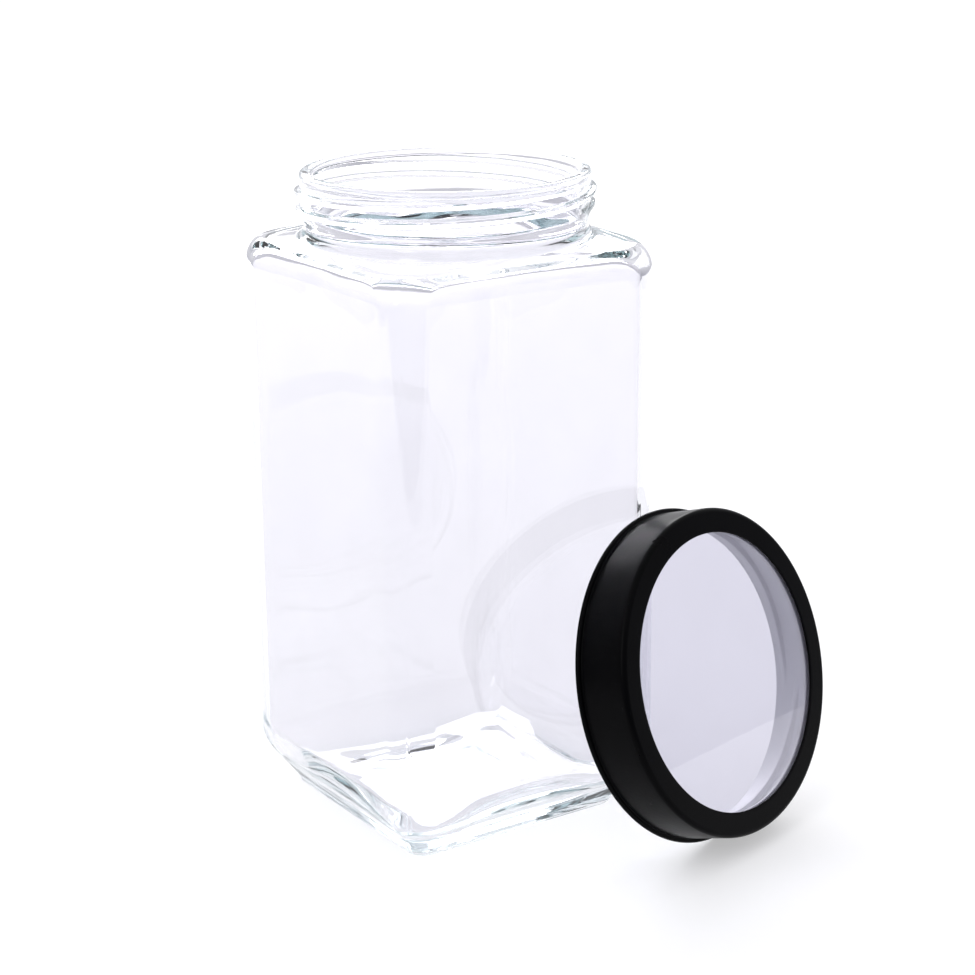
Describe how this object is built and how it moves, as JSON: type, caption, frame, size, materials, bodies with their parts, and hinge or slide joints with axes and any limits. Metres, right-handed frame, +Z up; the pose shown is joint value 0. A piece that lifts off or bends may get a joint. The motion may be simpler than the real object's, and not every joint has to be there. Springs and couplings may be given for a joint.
{
  "type": "square glass storage jar with a windowed screw lid",
  "caption": "Tall square jar of clear glass with a round screw neck, its black metal lid with a clear window taken off and leaning against it",
  "frame": {"origin": "middle of the footprint of jar and leaning lid together, on the table", "axes": "+Z up along the jar; the jar's flat sides face +X, -X, +Y and -Y; the lid leans at the corner between +X and -Y"},
  "size_m": [0.1676, 0.1668, 0.233],
  "materials": {
    "clear_glass": "clear, slightly green where it is thick",
    "black_paint": "satin black paint on tinplate",
    "clear_pane": "clear and polished",
    "white_plastic": "moulded, semi-matt white",
    "gasket": "soft off-white silicone"
  },
  "bodies": {
    "jar": {"glass_jar": "clear_glass"},
    "seal": {"sealing_gasket": "gasket"},
    "lid": {"lid_shell": "black_paint", "window_pane": "clear_pane", "thread_ring": "white_plastic"}
  },
  "joints": [
    {"name": "lid_away", "type": "slide", "parent": "jar", "child": "seal", "axis": [0.2655, -0.9198, 0.289], "range_m": [0, 0.2]},
    {"name": "lid_turn", "type": "hinge", "parent": "seal", "child": "lid", "pos_m": [0.02315, -0.04246, 0.05663], "axis": [0.2655, -0.9198, 0.289], "continuous": true}
  ]
}
